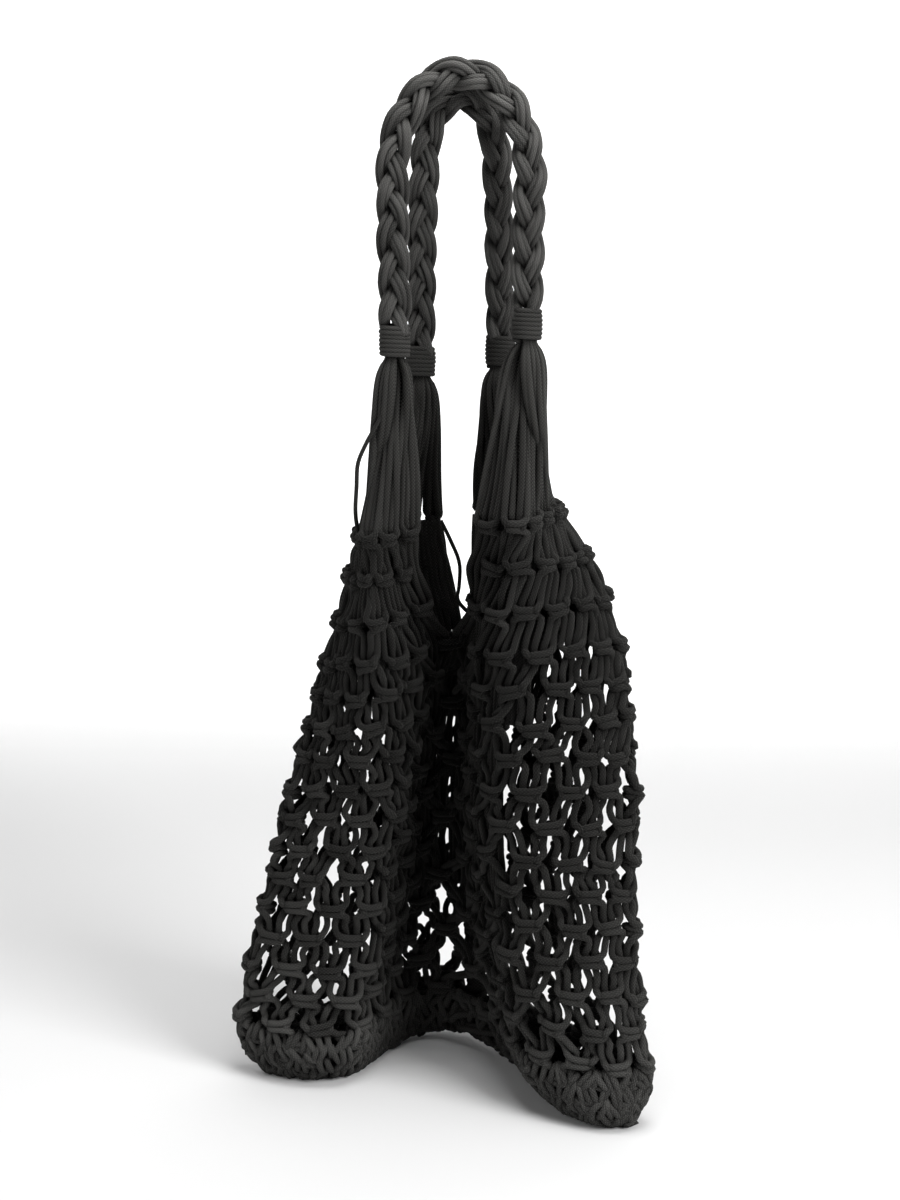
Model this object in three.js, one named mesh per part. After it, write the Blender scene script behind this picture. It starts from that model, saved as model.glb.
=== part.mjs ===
// Knotted cord shopping bag, hung by its two plaited handles. Millimetres, +Z up.
// The origin is the hang point, under the top of the back handle. +X is right, +Y is away
// from the viewer, so the two wings of the bag come forward along -Y.
import * as THREE from "three";
import { mergeVertices } from "three/addons/utils/BufferGeometryUtils.js";

// Driving sizes of the net
const bagWidth = 260;
const bagDepth = 180;
const rowOneZ = -242;
const netDrop = 368;
const netWall = 5;
const sideTilt = 0.12;
const looseRow = 27;
const closeRow = 20.5;
const looseRows = 3;
const netRows = 16;
const knotsPerQuarter = 6;
const meshGapShare = 0.36;
const firstGapRow = 6;
const frontNeckGap = 44;
const backNeckGap = 21;
const frontNeckPower = 2.2;
const backNeckPower = 1.5;
const tipRound = 42;
const pieceGap = 0.3;
const baseMiddleLift = 6;
const baseLiftReach = 1.5;
const curveSteps = 13;
const endShare = 0.01;
const middleDrop = 0.5;

// The shoulders: how many ribs and steps each has, how proud its ribs stand, how soon the
// cords at its neck side and at its outer side leave the bundle, and how much the bundle
// swells below its wrap, within what share of its height
const fanRibs = 12;
const fanSteps = 7;
const fanRibShare = 0.3;
const fanEdgeShare = 0.98;
const fanNeckEase = 0.9;
const fanTipEase = 3.6;
const fanLoosen = 0.6;
const fanLoosenReach = 0.2;

// Driving sizes of the handles, from wrap to wrap
const handleCentreX = -0.5;
const plaitPitch = 22.7;
const plaitStrands = 3;
const plaitEaseShare = 0.25;
const strandSides = 6;
const strandStep = 6;
const legPoints = 6;
const archPoints = 16;
const wrapLength = 21;
const wrapTurns = 7;
const wrapCord = 3;
const wrapGrooveShare = 0.6;
const wrapSides = 12;
const bundleRadius = 6.4;
const frontHandle = {
  name: "front", topZ: 30.5, archHalfWidth: 41.5, archRise: 62, topY: -9, wrapHalfSpan: 39.8,
  wrapY: -28, wrapTopZ: -112.8, plaitSwing: 6.8, plaitLift: 5.9, strandRadius: 3.6,
};
const backHandle = {
  name: "back", topZ: 18.5, archHalfWidth: 22.3, archRise: 40.5, topY: 9, wrapHalfSpan: 25,
  wrapY: 20, wrapTopZ: -128.7, plaitSwing: 6.3, plaitLift: 5.5, strandRadius: 3.3,
};

// Plan outline of the net, one row for each level from the first knots down to the floor.
// Columns: drop as a share of netDrop, then eight places as [share of bagWidth, share of
// bagDepth], then how widely the front valley is rounded.
const sections = [
  { drop: 0, leftTip: [-0.246, 0.067], leftFold: [-0.204, -0.211], valley: [-0.038, -0.122],
    rightFold: [0.131, -0.267], rightTip: [0.238, -0.011], rightBack: [0.185, 0.211],
    backCentre: [-0.008, 0.244], leftBack: [-0.177, 0.244], valleyRound: 0.35 },
  { drop: 0.1, leftTip: [-0.288, 0.044], leftFold: [-0.192, -0.189], valley: [-0.042, 0.022],
    rightFold: [0.108, -0.256], rightTip: [0.323, -0.1], rightBack: [0.227, 0.167],
    backCentre: [0, 0.267], leftBack: [-0.2, 0.233], valleyRound: 0.45 },
  { drop: 0.21, leftTip: [-0.331, 0.022], leftFold: [-0.185, -0.167], valley: [-0.019, 0.167],
    rightFold: [0.085, -0.233], rightTip: [0.373, -0.189], rightBack: [0.238, 0.089],
    backCentre: [0.012, 0.3], leftBack: [-0.215, 0.189], valleyRound: 0.5 },
  { drop: 0.35, leftTip: [-0.388, 0], leftFold: [-0.177, -0.133], valley: [-0.023, 0.244],
    rightFold: [0.077, -0.233], rightTip: [0.4, -0.278], rightBack: [0.223, 0],
    backCentre: [-0.019, 0.389], leftBack: [-0.231, 0.122], valleyRound: 0.6 },
  { drop: 0.5, leftTip: [-0.442, 0], leftFold: [-0.192, -0.089], valley: [-0.042, 0.289],
    rightFold: [0.085, -0.256], rightTip: [0.408, -0.333], rightBack: [0.223, -0.056],
    backCentre: [-0.038, 0.433], leftBack: [-0.254, 0.122], valleyRound: 0.7 },
  { drop: 0.7, leftTip: [-0.508, 0.022], leftFold: [-0.238, -0.056], valley: [-0.05, 0.322],
    rightFold: [0.115, -0.289], rightTip: [0.412, -0.389], rightBack: [0.246, -0.1],
    backCentre: [-0.046, 0.467], leftBack: [-0.3, 0.156], valleyRound: 0.8 },
  { drop: 0.85, leftTip: [-0.55, 0.056], leftFold: [-0.277, -0.067], valley: [-0.05, 0.344],
    rightFold: [0.154, -0.311], rightTip: [0.431, -0.422], rightBack: [0.292, -0.1],
    backCentre: [-0.046, 0.5], leftBack: [-0.354, 0.189], valleyRound: 0.95 },
  { drop: 0.94, leftTip: [-0.55, 0.067], leftFold: [-0.292, -0.078], valley: [-0.038, 0.35],
    rightFold: [0.192, -0.344], rightTip: [0.435, -0.422], rightBack: [0.323, -0.1],
    backCentre: [-0.038, 0.511], leftBack: [-0.362, 0.189], valleyRound: 1.0 },
  { drop: 1, leftTip: [-0.492, 0.078], leftFold: [-0.3, -0.022], valley: [-0.023, 0.361],
    rightFold: [0.269, -0.4], rightTip: [0.4, -0.4], rightBack: [0.323, -0.172],
    backCentre: [-0.023, 0.5], leftBack: [-0.335, 0.172], valleyRound: 0.9 },
];
const places = [
  "leftTip", "leftFold", "valley", "rightFold",
  "rightTip", "rightBack", "backCentre", "leftBack",
];

// Levels of the closed base, from its rim to the floor: how far down it is, how much the
// section has drawn in towards the middle of the wing, and how far the wall leans under.
const baseLevels = [
  { along: 0, drawIn: 0, lean: 0 },
  { along: 0.45, drawIn: 0, lean: 0.12 },
  { along: 0.8, drawIn: 0.08, lean: 0.4 },
  { along: 0.97, drawIn: 0.3, lean: 0.8 },
];

const cordBlack = 0x1b1b1c;
const softBlack = 0x232324;

function makeCottonMaterial(color) {
  return new THREE.MeshStandardMaterial({ color, roughness: 0.95, metalness: 0, side: THREE.FrontSide });
}

function mix(a, b, share) {
  return a + (b - a) * share;
}

// Cubic through two values with given slopes
function cubic(a, slopeA, b, slopeB, t) {
  const t2 = t * t;
  const t3 = t2 * t;
  const valueA = (2 * t3 - 3 * t2 + 1) * a + (t3 - 2 * t2 + t) * slopeA;
  const valueB = (3 * t2 - 2 * t3) * b + (t3 - t2) * slopeB;
  return valueA + valueB;
}

// The share of netDrop at which a row of knots lies. Row 1 is the first row.
function rowDrop(row) {
  const loose = Math.min(row - 1, looseRows);
  const close = Math.max(row - 1 - looseRows, 0);
  return (loose * looseRow + close * closeRow) / netDrop;
}
const frontJoinRow = looseRows + 2;
const backJoinRow = looseRows + 1;

// The neck slit narrows from its width at the first row to nothing at the joining row
function neckGap(width, joinRow, power, drop) {
  return width * Math.max(0, 1 - (drop / rowDrop(joinRow)) ** power);
}

function sectionValue(drop, read) {
  const last = sections.length - 1;
  let i = 0;
  while (i < last - 1 && drop >= sections[i + 1].drop) i += 1;
  const before = sections[Math.max(i - 1, 0)];
  const from = sections[i];
  const to = sections[i + 1];
  const after = sections[Math.min(i + 2, last)];
  const span = to.drop - from.drop;
  const slopeFrom = ((read(to) - read(before)) / (to.drop - before.drop)) * span;
  const slopeTo = ((read(after) - read(from)) / (after.drop - from.drop)) * span;
  return cubic(read(from), slopeFrom, read(to), slopeTo, (drop - from.drop) / span);
}

// Plan position of the eight places at a level
function sectionPlaces(drop) {
  const result = {};
  for (const place of places) {
    const x = bagWidth * sectionValue(drop, (row) => row[place][0]);
    const y = bagDepth * sectionValue(drop, (row) => row[place][1]);
    result[place] = new THREE.Vector2(x, y);
  }
  return result;
}

function curveThrough(from, slopeFrom, to, slopeTo, steps) {
  const points = [];
  for (let k = 0; k <= steps; k += 1) {
    const t = k / steps;
    const x = cubic(from.x, slopeFrom.x, to.x, slopeTo.x, t);
    const y = cubic(from.y, slopeFrom.y, to.y, slopeTo.y, t);
    points.push(new THREE.Vector2(x, y));
  }
  return points;
}

// One quarter of the outline, as two curves that meet at its fold, with its neck edge
// drawn aside by half the slit. It has the running length at every point. Each end and the
// fold is a pair of its place and its slope.
function quarterLine([start, startSlope], [fold, foldSlope], [end, endSlope], shiftX, neckFirst) {
  const first = curveThrough(start, startSlope, fold, foldSlope, curveSteps);
  const second = curveThrough(fold, foldSlope, end, endSlope, curveSteps);
  const points = first.concat(second.slice(1));
  points.forEach((point, k) => {
    const share = k / (points.length - 1);
    point.x += shiftX * (neckFirst ? 1 - share : share) ** 2;
  });
  const lengths = [0];
  for (let k = 1; k < points.length; k += 1) {
    lengths.push(lengths[k - 1] + points[k].distanceTo(points[k - 1]));
  }
  const startAlong = startSlope.clone().normalize();
  const endAlong = endSlope.clone().normalize();
  return { points, lengths, startAlong, endAlong };
}

const outlines = new Map();

// The four quarters of the outline at a level, in order: front left, back left, back right,
// front right. They run from the front neck slit round by the left tip.
function outlineAt(drop) {
  if (outlines.has(drop)) return outlines.get(drop);
  const p = sectionPlaces(drop);
  const valleyRound = sectionValue(drop, (row) => row.valleyRound);
  const half = (a, b) => a.clone().sub(b).multiplyScalar(0.5);
  const leftTipSlope = p.leftBack.clone().sub(p.leftFold).setLength(tipRound);
  const rightTipSlope = p.rightFold.clone().sub(p.rightBack).setLength(tipRound);
  const valleySlope = p.leftFold.clone().sub(p.rightFold).multiplyScalar(valleyRound);
  const leftFoldSlope = half(p.leftTip, p.valley);
  const rightFoldSlope = half(p.valley, p.rightTip);
  const rightBackSlope = half(p.rightTip, p.backCentre);
  const backSlope = half(p.rightBack, p.leftBack);
  const leftBackSlope = half(p.backCentre, p.leftTip);
  const valley = [p.valley, valleySlope];
  const leftFold = [p.leftFold, leftFoldSlope];
  const leftTip = [p.leftTip, leftTipSlope];
  const leftBack = [p.leftBack, leftBackSlope];
  const backCentre = [p.backCentre, backSlope];
  const rightBack = [p.rightBack, rightBackSlope];
  const rightTip = [p.rightTip, rightTipSlope];
  const rightFold = [p.rightFold, rightFoldSlope];
  const frontShift = neckGap(frontNeckGap, frontJoinRow, frontNeckPower, drop) / 2;
  const backShift = neckGap(backNeckGap, backJoinRow, backNeckPower, drop) / 2;
  const quarters = [
    quarterLine(valley, leftFold, leftTip, -frontShift, true),
    quarterLine(leftTip, leftBack, backCentre, -backShift, false),
    quarterLine(backCentre, rightBack, rightTip, backShift, true),
    quarterLine(rightTip, rightFold, valley, frontShift, false),
  ];
  outlines.set(drop, quarters);
  return quarters;
}

function heightAt(drop, x) {
  return rowOneZ - netDrop * drop + sideTilt * x * (1 - drop);
}

// A point of the net's middle surface and its outward level normal, at a share along a quarter.
// At a quarter's two ends the direction is the one that its neighbour has there too.
function netPoint(drop, quarter, share) {
  const { points, lengths, startAlong, endAlong } = outlineAt(drop)[quarter];
  const wanted = share * lengths[lengths.length - 1];
  let k = 1;
  while (k < lengths.length - 1 && lengths[k] < wanted) k += 1;
  const t = (wanted - lengths[k - 1]) / (lengths[k] - lengths[k - 1]);
  const place = points[k - 1].clone().lerp(points[k], t);
  const a = points[Math.max(k - 2, 0)];
  const b = points[Math.min(k + 1, points.length - 1)];
  let along = b.clone().sub(a).normalize();
  if (share < endShare) along = startAlong;
  if (share > 1 - endShare) along = endAlong;
  return { x: place.x, y: place.y, normal: new THREE.Vector2(-along.y, along.x) };
}

// A point of one face of the net's wall: side 1 is the outer face, -1 the inner
function wallPoint(drop, quarter, share, side) {
  const point = netPoint(drop, quarter, share);
  const x = point.x + point.normal.x * side * (netWall / 2);
  const y = point.y + point.normal.y * side * (netWall / 2);
  return new THREE.Vector3(x, y, heightAt(drop, x));
}

function meshFromTriangles(name, vertices, triangles, material) {
  const geometry = new THREE.BufferGeometry();
  const positions = new Float32Array(vertices.flatMap((v) => [v.x, v.y, v.z]));
  geometry.setAttribute("position", new THREE.BufferAttribute(positions, 3));
  geometry.setIndex(triangles.flat());
  geometry.computeVertexNormals();
  const mesh = new THREE.Mesh(geometry, material);
  mesh.name = name;
  return mesh;
}

// A closed wall from cells that share corners. Each cell lists its corners counterclockwise
// seen from outside, and each corner has a point on the outer face and one on the inner.
function wallMesh(name, outer, inner, cells, material) {
  const count = outer.length;
  const triangles = [];
  const edges = new Set();
  for (const cell of cells) {
    cell.forEach((corner, k) => edges.add(`${corner}_${cell[(k + 1) % cell.length]}`));
    for (let k = 2; k < cell.length; k += 1) {
      triangles.push([cell[0], cell[k - 1], cell[k]]);
      triangles.push([cell[0] + count, cell[k] + count, cell[k - 1] + count]);
    }
  }
  for (const edge of edges) {
    const [a, b] = edge.split("_").map(Number);
    if (edges.has(`${b}_${a}`)) continue;
    if (a < b) triangles.push([b, a, a + count], [b, a + count, b + count]);
    else triangles.push([b, a, b + count], [a, a + count, b + count]);
  }
  return meshFromTriangles(name, outer.concat(inner), triangles, material);
}

// Column edges of one quarter, in knots from the neck slit. A narrow column is centred on
// each knot line, and its cells are the ones that can be open.
function quarterColumns() {
  const half = meshGapShare / 2;
  const edges = [0, half];
  for (let knot = 1; knot < knotsPerQuarter; knot += 1) {
    edges.push(knot - half, knot + half);
  }
  edges.push((edges[edges.length - 1] + knotsPerQuarter) / 2, knotsPerQuarter);
  return edges;
}

// One quarter of the net, between a neck slit and a side tip. Quarters 0 and 2 start at the
// slit, quarters 1 and 3 end there.
function makeNetPanel(name, quarter, material) {
  const length = outlineAt(middleDrop)[quarter].lengths.at(-1);
  const edgeShare = pieceGap / 2 / length;
  const startsAtSlit = quarter === 0 || quarter === 2;
  const columns = quarterColumns().map((knot) => {
    const fromSlit = Math.min(Math.max(knot / knotsPerQuarter, edgeShare), 1 - edgeShare);
    return { knot, share: startsAtSlit ? fromSlit : 1 - fromSlit };
  });
  if (!startsAtSlit) columns.reverse();
  const outer = [];
  const inner = [];
  for (let row = 1; row <= netRows; row += 1) {
    for (const column of columns) {
      outer.push(wallPoint(rowDrop(row), quarter, column.share, 1));
      inner.push(wallPoint(rowDrop(row), quarter, column.share, -1));
    }
  }
  const cells = [];
  for (let row = 1; row < netRows; row += 1) {
    for (let i = 0; i < columns.length - 1; i += 1) {
      const middle = (columns[i].knot + columns[i + 1].knot) / 2;
      const knot = Math.round(middle);
      const onKnotLine = Math.abs(middle - knot) < meshGapShare / 2 && knot < knotsPerQuarter;
      if (onKnotLine && row >= firstGapRow && (row + knot) % 2 === 0) continue;
      const above = (row - 1) * columns.length + i;
      const below = above + columns.length;
      cells.push([above + 1, below + 1, below, above]);
    }
  }
  return wallMesh(name, outer, inner, cells, material);
}

// The closed base: a low hollow shell whose wall draws in and runs under the wings, and
// meets itself along the middle of each wing, on the floor.
function makeBase(material) {
  const quarterCount = 4;
  const rimDrop = rowDrop(netRows) + pieceGap / netDrop;
  const perQuarter = knotsPerQuarter;
  const around = quarterCount * perQuarter;
  const spot = (i) => {
    const quarter = Math.floor(i / perQuarter);
    return { quarter, share: (i % perQuarter) / perQuarter };
  };
  const facing = (i) => (around + around / 2 - i) % around;
  const liftAt = (i) => {
    const fromMiddle = Math.min(i % (around / 2), around / 2 - (i % (around / 2))) / perQuarter;
    return baseMiddleLift * Math.max(0, 1 - baseLiftReach * fromMiddle) ** 2;
  };
  const outer = [];
  const inner = [];
  const addPoint = (place, lean, normal) => {
    const down = Math.sin((lean * Math.PI) / 2) * (netWall / 2);
    const out = Math.cos((lean * Math.PI) / 2) * (netWall / 2);
    outer.push(new THREE.Vector3(place.x + normal.x * out, place.y + normal.y * out, place.z - down));
    inner.push(new THREE.Vector3(place.x - normal.x * out, place.y - normal.y * out, place.z + down));
    return outer.length - 1;
  };
  const lowestZ = rowOneZ - netDrop + netWall / 2;
  const midline = (drop, i) => {
    const a = spot(i);
    const b = spot(facing(i));
    const pa = netPoint(drop, a.quarter, a.share);
    const pb = netPoint(drop, b.quarter, b.share);
    return new THREE.Vector2((pa.x + pb.x) / 2, (pa.y + pb.y) / 2);
  };
  const rings = baseLevels.map((level) => {
    const drop = mix(rimDrop, 1, level.along);
    const ring = [];
    for (let i = 0; i < around; i += 1) {
      const at = spot(i);
      const point = netPoint(drop, at.quarter, at.share);
      const isTip = i % (around / 2) === perQuarter;
      const mid = isTip ? midline(drop, i - 1) : midline(drop, i);
      const x = mix(point.x, mid.x, level.drawIn);
      const y = mix(point.y, mid.y, level.drawIn);
      const rimZ = heightAt(rimDrop, point.x + point.normal.x * (netWall / 2));
      const z = mix(rimZ, lowestZ + liftAt(i) * level.along, level.along);
      ring.push(addPoint({ x, y, z }, level.lean, point.normal));
    }
    return ring;
  });
  const lowRing = rings.at(-1);
  const middle = [];
  const flat = new THREE.Vector2(0, 0);
  for (let i = 0; i < around; i += 1) {
    const opposite = facing(i);
    if (middle[opposite] !== undefined) {
      middle.push(middle[opposite]);
      continue;
    }
    const isTip = i % (around / 2) === perQuarter;
    const inside = midline(1, i);
    if (isTip) inside.lerp(midline(1, i - 1), 0.5);
    const place = { x: inside.x, y: inside.y, z: lowestZ + liftAt(i) };
    middle.push(addPoint(place, 1, flat));
  }
  const cells = [];
  for (let i = 0; i < around; i += 1) {
    const next = (i + 1) % around;
    for (let level = 0; level + 1 < rings.length; level += 1) {
      const [above, below] = [rings[level], rings[level + 1]];
      cells.push([above[next], below[next], below[i], above[i]]);
    }
    cells.push([lowRing[next], middle[next], middle[i], lowRing[i]]);
  }
  return wallMesh("base", outer, inner, cells, material);
}

// Where a handle meets the net: wraps stand upright, lower on the left as the net does
function wrapPlace(handle, side) {
  const x = handleCentreX + side * handle.wrapHalfSpan;
  return { x, y: handle.wrapY, topZ: handle.wrapTopZ + sideTilt * x };
}

// The gathered cords between a wrap and the first row of knots. A ring of points starts as
// the round bundle inside the wrap and opens to the flat, curved edge of one quarter.
function makeFan(name, handle, side, quarter, material) {
  const wrap = wrapPlace(handle, side);
  const fromSlit = quarter === 0 || quarter === 2;
  const spots = [];
  for (let k = 0; k < fanRibs; k += 1) {
    const fromNeck = (k / (fanRibs - 1)) * fanEdgeShare;
    spots.push({ fromNeck, ...netPoint(0, quarter, fromSlit ? fromNeck : 1 - fromNeck) });
  }
  if (!fromSlit) spots.reverse();
  const across = new THREE.Vector2(spots.at(-1).x - spots[0].x, spots.at(-1).y - spots[0].y).normalize();
  const outward = new THREE.Vector2(-across.y, across.x);
  const wrapBottomZ = wrap.topZ - wrapLength;
  const ringAt = (open, z, toEdge) => {
    const outerSide = [];
    const innerSide = [];
    spots.forEach((spot, k) => {
      const angle = (Math.PI * (k + 0.5)) / fanRibs;
      const share = open ** mix(fanNeckEase, fanTipEase, spot.fromNeck);
      const rib = k % 2 === 0 ? 1 + fanRibShare * Math.sin(Math.PI * open) : 1;
      const neckRadius = bundleRadius * (1 + fanLoosen * Math.min(1, open / fanLoosenReach));
      for (const [face, line] of [[1, outerSide], [-1, innerSide]]) {
        const alongNeck = -Math.cos(angle) * neckRadius;
        const outNeck = Math.sin(angle) * neckRadius * face;
        const neckX = wrap.x + across.x * alongNeck + outward.x * outNeck;
        const neckY = wrap.y + across.y * alongNeck + outward.y * outNeck;
        const half = (netWall / 2) * face * rib;
        const x = mix(neckX, spot.x + spot.normal.x * half, share);
        const y = mix(neckY, spot.y + spot.normal.y * half, share);
        line.push(new THREE.Vector3(x, y, toEdge ? heightAt(0, x) + pieceGap : z));
      }
    });
    return outerSide.concat(innerSide.reverse());
  };
  const rings = [ringAt(0, wrap.topZ, false), ringAt(0, wrapBottomZ, false)];
  for (let k = 1; k < fanSteps; k += 1) {
    rings.push(ringAt(k / fanSteps, mix(wrapBottomZ, heightAt(0, wrap.x), k / fanSteps), false));
  }
  rings.push(ringAt(1, 0, true));
  return loftMesh(name, rings, material);
}

// A closed solid through rings of the same number of points, whose two ends are filled
// across from one side of the ring to the other
function loftMesh(name, rings, material) {
  const size = rings[0].length;
  const vertices = rings.flat();
  const triangles = [];
  for (let r = 0; r + 1 < rings.length; r += 1) {
    for (let k = 0; k < size; k += 1) {
      const next = (k + 1) % size;
      const [a, b] = [r * size + k, r * size + next];
      const [c, d] = [a + size, b + size];
      triangles.push([a, b, d], [a, d, c]);
    }
  }
  const last = (rings.length - 1) * size;
  for (let k = 0; k < size / 2 - 1; k += 1) {
    const [a, b, c, d] = [k, k + 1, size - 2 - k, size - 1 - k];
    triangles.push([a, d, c], [a, c, b]);
    triangles.push([last + a, last + b, last + c], [last + a, last + c, last + d]);
  }
  return meshFromTriangles(name, vertices, triangles, material);
}

// Cord wound round the bundle: a sleeve with one rounded ring for each turn
function makeWrap(name, handle, side, material) {
  const inside = bundleRadius + pieceGap;
  const grooveRadius = inside + wrapCord * wrapGrooveShare;
  const turnLength = wrapLength / wrapTurns;
  const profile = [new THREE.Vector2(inside, 0)];
  for (let turn = 0; turn < wrapTurns; turn += 1) {
    profile.push(new THREE.Vector2(grooveRadius, turn * turnLength));
    profile.push(new THREE.Vector2(inside + wrapCord, (turn + 0.5) * turnLength));
  }
  profile.push(new THREE.Vector2(grooveRadius, wrapLength));
  profile.push(new THREE.Vector2(inside, wrapLength));
  profile.push(new THREE.Vector2(inside, 0));
  const lathe = new THREE.LatheGeometry(profile, wrapSides);
  lathe.deleteAttribute("normal");
  lathe.deleteAttribute("uv");
  const geometry = mergeVertices(lathe, 1e-4);
  geometry.computeVertexNormals();
  const mesh = new THREE.Mesh(geometry, material);
  const wrap = wrapPlace(handle, side);
  mesh.rotation.x = Math.PI / 2;
  mesh.position.set(wrap.x, wrap.y, wrap.topZ - wrapLength);
  mesh.name = name;
  return mesh;
}

// The middle line of a handle: up from the left wrap, over a half ellipse, down to the right
function handleRoute(handle) {
  const archZ = handle.topZ - handle.archRise;
  const [left, right] = [wrapPlace(handle, -1), wrapPlace(handle, 1)];
  const points = [];
  const addPoint = (x, z, foot) => {
    const rise = (z - foot.topZ) / (handle.topZ - foot.topZ);
    points.push(new THREE.Vector3(x, mix(handle.wrapY, handle.topY, rise * rise), z));
  };
  for (let k = 0; k < legPoints; k += 1) {
    const share = k / legPoints;
    const x = mix(left.x, handleCentreX - handle.archHalfWidth, share * share);
    addPoint(x, mix(left.topZ + pieceGap, archZ, share), left);
  }
  for (let k = 0; k <= archPoints; k += 1) {
    const angle = (Math.PI * k) / archPoints;
    const foot = angle < Math.PI / 2 ? left : right;
    const z = archZ + handle.archRise * Math.sin(angle);
    addPoint(handleCentreX - handle.archHalfWidth * Math.cos(angle), z, foot);
  }
  for (let k = legPoints - 1; k >= 0; k -= 1) {
    const share = k / legPoints;
    const x = mix(right.x, handleCentreX + handle.archHalfWidth, share * share);
    addPoint(x, mix(right.topZ + pieceGap, archZ, share), right);
  }
  return new THREE.CatmullRomCurve3(points, false, "centripetal");
}

// One of the three strands of a plait. It swings across the handle once in three crossings
// and passes over and under its neighbours twice as often. It leaves each wrap straight.
class PlaitStrand extends THREE.Curve {
  constructor(route, handle, phase) {
    super();
    this.route = route;
    this.handle = handle;
    this.phase = phase;
    this.routeLength = route.getLength();
  }

  getPoint(t, target = new THREE.Vector3()) {
    const along = t * this.routeLength;
    const fromEnd = Math.min(along, this.routeLength - along);
    const ease = plaitPitch * plaitEaseShare;
    const lag = fromEnd < ease ? (fromEnd * fromEnd) / (2 * ease) : fromEnd - ease / 2;
    const run = along < this.routeLength / 2 ? lag : this.routeLength - ease - lag;
    const turn = (2 * Math.PI * run) / (plaitStrands * plaitPitch) + this.phase;
    const tangent = this.route.getTangentAt(t);
    const across = new THREE.Vector3(0, 1, 0).cross(tangent).normalize();
    const lift = tangent.clone().cross(across);
    target.copy(this.route.getPointAt(t));
    target.addScaledVector(across, this.handle.plaitSwing * Math.sin(turn));
    target.addScaledVector(lift, this.handle.plaitLift * Math.sin(2 * turn));
    return target;
  }
}

function strandSection(radius) {
  const section = new THREE.Shape();
  for (let k = 0; k < strandSides; k += 1) {
    const angle = (2 * Math.PI * k) / strandSides;
    const [x, y] = [radius * Math.cos(angle), radius * Math.sin(angle)];
    if (k === 0) section.moveTo(x, y);
    else section.lineTo(x, y);
  }
  section.closePath();
  return section;
}

function makePlait(handle, material) {
  const route = handleRoute(handle);
  const steps = Math.round(route.getLength() / strandStep);
  const section = strandSection(handle.strandRadius);
  const strands = [];
  for (let k = 0; k < plaitStrands; k += 1) {
    const strand = new PlaitStrand(route, handle, (2 * Math.PI * k) / plaitStrands);
    const extrusion = { steps, extrudePath: strand, bevelEnabled: false };
    const geometry = new THREE.ExtrudeGeometry(section, extrusion);
    const mesh = new THREE.Mesh(geometry, material);
    mesh.name = `${handle.name}_handle_strand_${k + 1}`;
    strands.push(mesh);
  }
  return strands;
}

const netMaterial = makeCottonMaterial(cordBlack);
const handleMaterial = makeCottonMaterial(softBlack);
const bag = new THREE.Group();
const corners = [
  { handle: frontHandle, side: -1, quarter: 0, place: "left" },
  { handle: backHandle, side: -1, quarter: 1, place: "left" },
  { handle: backHandle, side: 1, quarter: 2, place: "right" },
  { handle: frontHandle, side: 1, quarter: 3, place: "right" },
];
for (const handle of [frontHandle, backHandle]) bag.add(...makePlait(handle, handleMaterial));
for (const { handle, side, quarter, place } of corners) {
  bag.add(makeWrap(`${handle.name}_${place}_wrap`, handle, side, handleMaterial));
  bag.add(makeFan(`${handle.name}_${place}_shoulder`, handle, side, quarter, netMaterial));
  bag.add(makeNetPanel(`${handle.name}_${place}_net`, quarter, netMaterial));
}
bag.add(makeBase(netMaterial));

export default bag;
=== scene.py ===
"""Knotted cord shopping bag hung by its plaited handles: every cord and knot, and a plain studio."""
import math

import bpy
import numpy as np
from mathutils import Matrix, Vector


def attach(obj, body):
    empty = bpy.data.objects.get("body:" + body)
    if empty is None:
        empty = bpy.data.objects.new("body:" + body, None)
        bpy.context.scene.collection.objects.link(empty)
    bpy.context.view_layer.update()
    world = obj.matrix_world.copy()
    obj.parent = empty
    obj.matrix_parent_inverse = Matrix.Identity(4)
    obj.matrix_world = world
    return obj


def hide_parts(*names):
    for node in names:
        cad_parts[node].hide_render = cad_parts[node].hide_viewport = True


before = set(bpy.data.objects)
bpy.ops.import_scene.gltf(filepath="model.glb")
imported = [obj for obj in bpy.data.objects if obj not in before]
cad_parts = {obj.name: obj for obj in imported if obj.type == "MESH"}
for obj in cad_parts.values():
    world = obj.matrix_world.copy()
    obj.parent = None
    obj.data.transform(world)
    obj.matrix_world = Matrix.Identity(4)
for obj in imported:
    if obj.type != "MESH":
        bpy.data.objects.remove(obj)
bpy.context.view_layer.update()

# Lengths are in millimetres and become metres where a mesh is made
METRE = 0.001
rng = np.random.default_rng(7)

# Sizes that follow the CAD model
BAG_WIDTH, BAG_DEPTH = 260.0, 180.0
ROW_ONE_Z, NET_DROP, NET_WALL, SIDE_TILT = -242.0, 368.0, 5.0, 0.12
LOOSE_ROW, CLOSE_ROW, LOOSE_ROWS, NET_ROWS = 27.0, 20.5, 3, 16
KNOTS_PER_QUARTER = 6
FRONT_NECK_GAP, BACK_NECK_GAP, TIP_ROUND = 30.0, 21.0, 42.0
BASE_MIDDLE_LIFT, BASE_LIFT_REACH = 6.0, 1.5
HANDLE_CENTRE_X, PLAIT_PITCH, PLAIT_STRANDS = -0.5, 22.7, 3
WRAP_LENGTH, WRAP_TURNS, BUNDLE_RADIUS = 21.0, 7, 6.4
FRONT_HANDLE = dict(name="front", top_z=30.5, arch_half_width=41.5, arch_rise=62.0, top_y=-9.0,
                    wrap_half_span=39.8, wrap_y=-28.0, wrap_top_z=-112.8, swing=6.0, lift=5.6)
BACK_HANDLE = dict(name="back", top_z=18.5, arch_half_width=22.3, arch_rise=40.5, top_y=9.0,
                   wrap_half_span=25.0, wrap_y=20.0, wrap_top_z=-128.7, swing=5.3, lift=5.2)
FLOOR_Z = ROW_ONE_Z - NET_DROP
# How each neck's gap closes on its way down: as one less this power of the way
FRONT_NECK_POWER, BACK_NECK_POWER = 2.2, 1.5

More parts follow.
